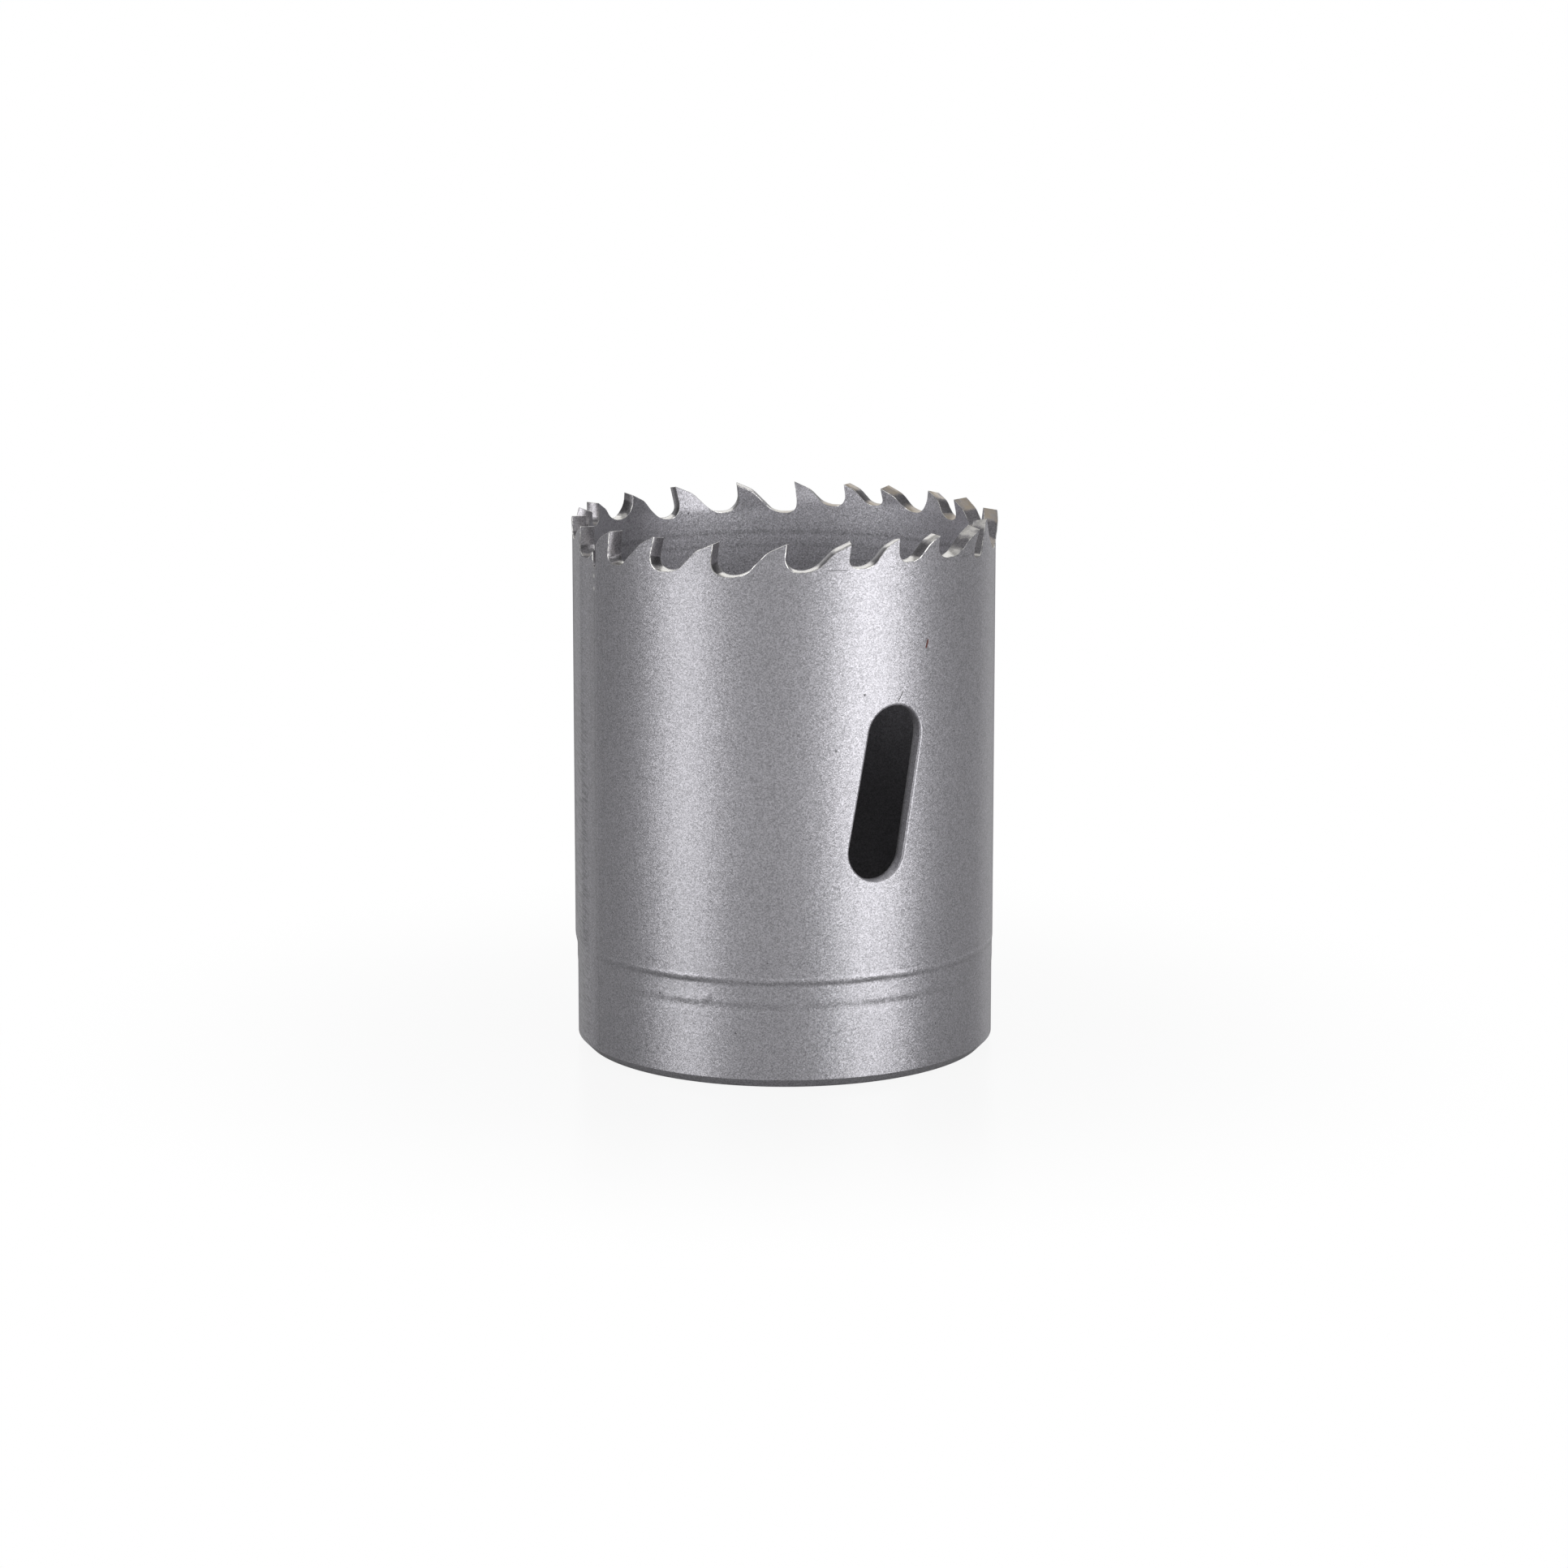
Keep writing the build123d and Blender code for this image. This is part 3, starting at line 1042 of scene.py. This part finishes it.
def silver_paint():
    """Silver flake paint over the marks of the work."""
    material, shader, place = principled("shell_paint")
    x, y, height = split(place)
    radius, turn = axis_distance(x, y), x.maths("ARCTAN2", 0 - y, 0 - x)
    inside = radius.ramp(inner_radius + 0.5 * mm, inner_radius + 0.1 * mm)
    outside = 1 - inside
    wander, lumps = grain(place, 2.5 * mm) - 0.5, grain(place, 0.32 * mm)
    high = height + 0.2 * mm * wander + 0.16 * mm * (grain(place, 0.7 * mm) - 0.5)

    patchy = broken_up(place, turn, lumps)
    ground, streaks = ground_streaks(height, turn)
    ground = ground * outside
    weld_line = turn.bump_at(0.0, 0.14 * mm / outer_radius) * (lumps > 0.42)
    edge_line = high.bump_at(edge_height, edge_width) * grain(place, 3 * mm).ramp(0.45, 0.55)
    edge_line = edge_line * turn.ramp(radians(64), radians(70)) * outside
    specks = dust_specks(place)
    rings = grain(stretched(place, (0.03, 0.03, 1.0)), 0.3 * mm)
    ring_zone = inside * height.ramp(36 * mm, 39 * mm) * height.ramp(45 * mm, 44 * mm)
    relief_height = mm * (
        lines_at(high, relief_lines) * patchy
        + 0.07 * spot(place, nub_point, nub_size)
        + 0.04 * ground * streaks
        - 0.012 * weld_line
        - 0.02 * edge_line
        + 0.05 * specks
        + 0.006 * ring_zone * rings
    )

    ground_face = turn.bump_at(radians(-6.5), radians(6.5)) - 1.5 * turn.bump_at(radians(-26), radians(12))
    tone = 0.64 + 0.72 * flake_tone(place) + 0.10 * (grain(place, 1.5 * mm) - 0.5)
    # Inside, the tone takes the cup's painted light and shade.
    tone = tone * (outside + inside * painted_cup_light_and_shade(height, turn, wander))
    for share in (
        # Painted light on the cut walls of the slots.
        0.3 * slot_wall_painted_light(radius, height) * outside,
        -0.42 * ring_zone * lines_at(high, inner_lines) * lumps,
        -0.10 * ring_zone * rings,
        -0.34 * ground * streaks.ramp(0.48, 0.62),
        -0.2 * weld_line,
        -0.2 * edge_line,
        -0.55 * specks,
        # Painted highlight on the turned lip and painted shade in its grooves.
        0.22 * lines_at(high, painted_lip_and_groove_light) * patchy * outside,
        0.14 * ground_face,
    ):
        tone = tone * (1 + share)

    silver = blend(tone, black, paint_silver, clamped=False)
    sparkle = lean_normal(cells(place, flake_size, 1), flake_tilt)
    feed(shader, {
        "Base Color": marked(place, silver),
        "Normal": bump(relief_height, Normal=sparkle),
        "Metallic": 0.6 + 0.05 * outside,
        "Roughness": 0.38,
        "Coat Weight": 0.5,
        "Coat Roughness": 0.3,
    })
    print("silver paint: %d nodes" % len(place.tree.nodes))
    return material


# %% [markdown]
# ## Milled walls and rubbed edges
#
# The walls of the gullets have only a thin coat. Where a wall faces up, which is read from its normal,
# it is bright: partly bare steel and partly a painted highlight. The round feet are darkened as painted
# shade, and one side of the rim is browned and darker, a brown tint with painted shade. The fine bevels
# along the teeth have a finish of their own, rubbed through to bright steel.

# %% Milled steel and worn edges
thin_silver = (0.48, 0.465, 0.49, 1.0)
steel_dark, steel_light = (0.60, 0.58, 0.55, 1.0), (0.92, 0.90, 0.86, 1.0)
# Brown steel, also darker: a brown tint with painted shade.
steel_browned_shaded = (0.46, 0.40, 0.325, 1.0)
edge_paint, edge_bright = (0.38, 0.375, 0.39, 1.0), (0.85, 0.84, 0.82, 1.0)
browned_shaded_side, browned_shaded_fade = radians(15), (9 * mm, 14.5 * mm)
rub_size = 0.5 * mm


def milled_steel():
    """Milled wall under a film of paint, bright where it faces up, which is partly unpainted steel and
    partly a painted highlight, with painted shade in the round feet.
    """
    material, shader, place = principled("milled_steel")
    x, y, _ = split(place)
    facing_up = split(surface_normal(place.tree))[2]
    # Bright where the wall faces up: partly unpainted steel, partly a painted highlight.
    bare_and_highlight = (facing_up + 0.3 * (grain(place, rub_size) - 0.5)).ramp(0.74, 0.96)
    # Painted shade in the round feet of the gullets.
    foot = facing_up.ramp(0.0, 0.2) * facing_up.ramp(0.95, 0.75)
    tone = (0.7 + 0.6 * flake_tone(place)) * (1 - 0.6 * foot)
    # Browned and darker on one side of the rim: a brown tint, with painted shade.
    browned_and_shaded = (x * cos(browned_shaded_side) + y * sin(browned_shaded_side)).ramp(*browned_shaded_fade)
    steel = blend(grain(place, 0.12 * mm), steel_dark, steel_light)
    steel = blend(browned_and_shaded, steel, steel_browned_shaded)
    feed(shader, {
        "Base Color": blend(bare_and_highlight, blend(tone, black, thin_silver, clamped=False), steel),
        "Roughness": 0.32 - 0.12 * bare_and_highlight + 0.12 * browned_and_shaded,
        "Metallic": 0.9,
    })
    return material


def worn_edge():
    """Paint that is rubbed through to bright steel here and there."""
    material, shader, place = principled("worn_edge")
    rubbed = grain(place, rub_size, 3.0).ramp(0.40, 0.53)
    feed(shader, {
        "Base Color": blend(rubbed, edge_paint, edge_bright),
        "Roughness": 0.38 - 0.12 * rubbed,
        "Metallic": 0.9,
    })
    return material


shell = finish_piece(strip, "toothed_shell", [silver_paint(), milled_steel(), worn_edge()])
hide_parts("saw_shell")

# %% [markdown]
# ## Turned steel of the back plate
#
# The plate is faced on a lathe, which leaves fine rings round the axis. Rings are a noise that is read
# by radius alone, so it is the same all the way round. They go into the bump, where they catch the
# light as real tool marks do. Near the wall the weld has browned the steel, and paint dust lies on it.

# %% Plate finish
ring_dark, ring_light = (0.38, 0.38, 0.39, 1.0), (0.66, 0.655, 0.65, 1.0)
side_steel = (0.55, 0.54, 0.53, 1.0)
stain_brown, heat_brown = (0.30, 0.27, 0.24, 1.0), (0.45, 0.37, 0.30, 1.0)
heat_fade, upper_face = (13.4 * mm, 16.4 * mm), (3 * mm, 6 * mm)
spray_reach = 17.5 * mm


def turned_steel():
    """Faced steel with rings, heat colours and paint dust."""
    material, shader, place = principled("plate_steel")
    x, y, height = split(place)
    radius = axis_distance(x, y)
    facing = split(surface_normal(place.tree))[2]
    faced = facing.maths("ABSOLUTE", facing).ramp(0.6, 0.95)
    by_radius = draw(place.tree, "ShaderNodeCombineXYZ", {}, {0: radius, 1: 0.3 * height})
    rings, broad = grain(by_radius, 0.11 * mm), grain(by_radius, 0.9 * mm, 3.0)
    patches, dust = grain(place, 2.6 * mm, 4.0), grain(place, 0.16 * mm)

    steel = blend(rings * 0.7 + broad * 0.5 - 0.1, ring_dark, ring_light)
    steel = blend(faced.maths("MAXIMUM", faced, 0.5), side_steel, steel)
    stained = patches.ramp(0.52, 0.72) * 0.4
    steel = blend(stained, steel, stain_brown)
    heated = (radius + 2.2 * mm * (patches - 0.5)).ramp(*heat_fade) * height.ramp(*upper_face)
    steel = blend(heated * 0.7, steel, heat_brown)
    sprayed = (dust + 0.35 * (radius / spray_reach) * height.ramp(*upper_face)).ramp(0.72, 0.84)
    nicks = (1 - cells(place, 2.4 * mm, 0).ramp(0.03, 0.10)) * patches.ramp(0.4, 0.6)
    feed(shader, {
        "Base Color": blend(sprayed * 0.8, steel, paint_silver),
        "Roughness": 0.24 + 0.16 * broad + 0.14 * stained + 0.1 * sprayed,
        "Normal": bump(mm * (0.007 * rings * faced + 0.02 * dust * sprayed - 0.03 * nicks)),
        "Metallic": 0.95,
    })
    return material


plate_steel = turned_steel()
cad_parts["back_plate"].material_slots[0].material = plate_steel
print("back plate from %.2f to %.2f mm" % (plate_low.z / mm, plate_high.z / mm))

# %% [markdown]
# ## Arbor thread
#
# The arbor screws into the plate: 18 turns to the inch, with the usual section of sixty degrees. A
# thread is one ridge wound up the bore, so its section is drawn once and spun with a small lift at
# every step. The mouths of the bore are countersunk, and the ridge is cut back by the same cones.

# %% Thread
plate_thickness = 6.35 * mm
thread_radius = 7.94 * mm
thread_depth = 0.67 * mm
thread_pitch = 25.4 / 18 * mm
thread_root_share = 7 / 8
thread_steps = 80
lead_in = 0.4 * mm
sunk = 0.03 * mm


def wound_ridge():
    """The thread's ridge, wound up the bore from one face of the plate to the other."""
    shape = bmesh.new()
    root, crest = thread_radius + sunk, thread_radius - thread_depth
    root_half = thread_pitch * thread_root_share / 2
    crest_half = root_half - thread_depth * tan(radians(30))
    section = [shape.verts.new(place) for place in (
        (root, 0, -root_half), (crest, 0, -crest_half), (crest, 0, crest_half), (root, 0, root_half),
    )]
    sides = [shape.edges.new((section[number - 1], section[number])) for number in range(4)]
    turns = plate_thickness / thread_pitch
    steps = round(thread_steps * turns)
    bmesh.ops.spin(
        shape, geom=section + sides, cent=(0, 0, 0), axis=(0, 0, 1), angle=2 * pi * turns,
        dvec=(0, 0, plate_thickness / steps), steps=steps, use_merge=False,
    )
    bmesh.ops.holes_fill(shape, edges=[edge for edge in shape.edges if edge.is_boundary])
    return shape


def cut_back(shape):
    """Keep the ridge inside the plate, and cut it back at both countersunk mouths."""
    for corner in shape.verts:
        corner.co.z = min(max(corner.co.z, sunk), plate_thickness - sunk)
        radius = corner.co.xy.length
        depth = min(corner.co.z, plate_thickness - corner.co.z)
        least = thread_radius + lead_in + sunk - depth
        if radius < least:
            corner.co.x *= least / radius
            corner.co.y *= least / radius
    bmesh.ops.dissolve_degenerate(shape, dist=0.002 * mm, edges=shape.edges[:])
    bmesh.ops.recalc_face_normals(shape, faces=shape.faces[:])
    for edge in shape.edges:
        edge.smooth = len(edge.link_faces) == 2 and edge.calc_face_angle() < radians(20)


thread = wound_ridge()
cut_back(thread)
print("thread: %d faces, open edges %d" % (len(thread.faces), open_edges(thread)))
finish_piece(thread, "arbor_thread_ridge", [plate_steel])

# %% [markdown]
# ## Weld bead
#
# One weld inside the cup joins plate and wall. A bead is a row of puddles that froze over each other.
# It could be a chain of squashed balls, but one round section spun about the axis is a single clean
# skin: its corners are then raised where each puddle ends, and where the bead closes on itself. Only
# the quarter that faces the cup is seen, so the rest is drawn in.

# %% Bead
bead_leg = 0.9 * mm
bead_sides = 24
bead_puddles = 76
steps_per_puddle = 6
bead_end, closing_width = radians(205), radians(5)
ripple, uneven_rise, fine_rise, closing_rise = 0.06 * mm, 0.05 * mm, 0.02 * mm, 0.14 * mm
bow, wander_share = 0.45, 0.5
hidden_share = 0.2


def puddled(azimuth, across):
    """Extra height of the bead: ripples that bow forward in the middle, and its uneven size."""
    around = Vector((cos(azimuth), sin(azimuth), 0))
    uneven, fine = noise.noise(5 * around), noise.noise(30 * around)
    phase = (azimuth / (2 * pi) * bead_puddles + bow * sin(across) + wander_share * uneven) % 1.0
    closing = 1 - ramp(abs(azimuth - bead_end), 0, closing_width)
    return ripple * (1 - phase) ** 2 + uneven_rise * uneven + fine_rise * fine + closing_rise * closing


def weld_bead():
    """Rounded bead in the corner of plate and wall."""
    shape = bmesh.new()
    upright = Matrix.Translation((inner_radius, 0, plate_thickness)) @ Matrix.Rotation(pi / 2, 4, "X")
    bmesh.ops.create_circle(shape, segments=bead_sides, radius=bead_leg, matrix=upright)
    bmesh.ops.spin(
        shape, geom=shape.verts[:] + shape.edges[:], cent=(0, 0, 0), axis=(0, 0, 1), angle=2 * pi,
        steps=steps_per_puddle * bead_puddles, use_merge=True,
    )
    for corner in shape.verts:
        azimuth = atan2(corner.co.y, corner.co.x) % (2 * pi)
        out, up = corner.co.xy.length - inner_radius, corner.co.z - plate_thickness
        swell = (bead_leg + puddled(azimuth, atan2(up, -out))) / bead_leg
        radius = inner_radius + out * (swell if out < 0 else hidden_share)
        height = plate_thickness + up * (swell if up > 0 else hidden_share)
        corner.co = (radius * cos(azimuth), radius * sin(azimuth), height)
    bmesh.ops.recalc_face_normals(shape, faces=shape.faces[:])
    return shape


# %% [markdown]
# ## Weld finish
#
# A weld that cooled in air has a dark scale, brown and blue, and is brighter where that came off. One
# noise serves for colour, gloss and relief, so that all three agree.

# %% Weld steel
scale_brown, scale_blue = (0.26, 0.20, 0.16, 1.0), (0.22, 0.23, 0.28, 1.0)
weld_bright = (0.52, 0.51, 0.50, 1.0)


def weld_steel():
    """Frozen weld under broken dark scale."""
    material, shader, place = principled("weld_steel")
    scale, burnt = grain(place, 0.35 * mm, 3.0), grain(place, 2.2 * mm)
    oxide = blend(burnt.ramp(0.35, 0.65), scale_brown, scale_blue)
    feed(shader, {
        "Base Color": blend(scale.ramp(0.40, 0.62), oxide, weld_bright),
        "Roughness": 0.52 - 0.25 * scale,
        "Normal": bump(0.03 * mm * scale),
        "Metallic": 0.9,
    })
    return material


bead = weld_bead()
print("weld bead: %d faces, open edges %d" % (len(bead.faces), open_edges(bead)))
finish_piece(bead, "weld_bead", [weld_steel()])

# %% [markdown]
# ## Colour view
#
# The Standard view shows a colour about as it is written.

# %% Finish
bpy.context.scene.view_settings.view_transform = "Standard"
